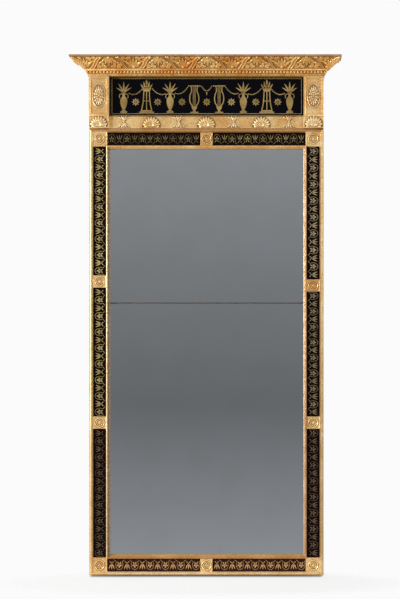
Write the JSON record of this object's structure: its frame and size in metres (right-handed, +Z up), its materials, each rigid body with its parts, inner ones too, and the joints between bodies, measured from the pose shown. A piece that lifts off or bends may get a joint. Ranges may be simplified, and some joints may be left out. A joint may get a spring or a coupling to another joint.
{
  "type": "pier mirror",
  "caption": "Tall gilt-wood wall mirror: mirror plates in a black and gold glass border with patera blocks, under a glass frieze, shell band and carved cornice; hangs by rings.",
  "frame": {"origin": "on the wall plane, middle of the back of the cross rail, level with the joint between the plates", "axes": "+Z up, +Y towards the wall, +X to the right seen from the front"},
  "size_m": [1.022, 0.128, 1.966],
  "materials": {
    "gilt_wood": "gilded, worn",
    "pine": "bare, aged",
    "painted_glass": "gloss, painted behind",
    "silvered_glass": "polished, aged",
    "iron": "forged, darkened"
  },
  "bodies": {
    "frame": {"architrave_moulding": "gilt_wood", "architrave_rail": "pine", "backboard_frieze": "pine", "backboard_lower": "pine", "backboard_nails": "iron", "backboard_upper": "pine", "band_palmettes": "gilt_wood", "bead_course": "gilt_wood", "bottom_rail": "pine", "carved_shells": "gilt_wood", "cornice_beam": "pine", "cornice_front": "gilt_wood", "cornice_rail": "pine", "cornice_return_left": "gilt_wood", "cornice_return_right": "gilt_wood", "cross_rail": "pine", "end_block_left": "gilt_wood", "end_block_right": "gilt_wood", "frieze_glass": "painted_glass", "glass_bottom_left": "painted_glass", "glass_bottom_right": "painted_glass", "glass_left_lower": "painted_glass", "glass_left_middle": "painted_glass", "glass_left_upper": "painted_glass", "glass_right_lower": "painted_glass", "glass_right_middle": "painted_glass", "glass_right_upper": "painted_glass", "glass_top_left": "painted_glass", "glass_top_right": "painted_glass", "hanger_plate_left": "iron", "hanger_plate_right": "iron", "hanger_screws": "iron", "left_stile": "pine", "mirror_plate_lower": "silvered_glass", "mirror_plate_upper": "silvered_glass", "outer_moulding_bottom": "gilt_wood", "outer_moulding_left": "gilt_wood", "outer_moulding_right": "gilt_wood", "oval_patera_left": "gilt_wood", "oval_patera_right": "gilt_wood", "packing_strips": "pine", "patera_bottom": "gilt_wood", "patera_bottom_left": "gilt_wood", "patera_bottom_right": "gilt_wood", "patera_left_lower": "gilt_wood", "patera_left_upper": "gilt_wood", "patera_right_lower": "gilt_wood", "patera_right_upper": "gilt_wood", "patera_top": "gilt_wood", "patera_top_left": "gilt_wood", "patera_top_right": "gilt_wood", "right_stile": "pine", "shell_band": "gilt_wood", "sight_moulding_bottom": "gilt_wood", "sight_moulding_left": "gilt_wood", "sight_moulding_right": "gilt_wood", "sight_moulding_top": "gilt_wood", "top_board": "pine"},
    "left_ring": {"hanging_ring_left": "iron"},
    "right_ring": {"hanging_ring_right": "iron"}
  },
  "joints": [
    {"name": "left_ring_swing", "type": "hinge", "parent": "frame", "child": "left_ring", "pos_m": [-0.3, -0.009, 0.658], "axis": [1, 0, 0], "range_deg": [0, 180]},
    {"name": "right_ring_swing", "type": "hinge", "parent": "frame", "child": "right_ring", "pos_m": [0.3, -0.009, 0.658], "axis": [1, 0, 0], "range_deg": [0, 180]}
  ]
}
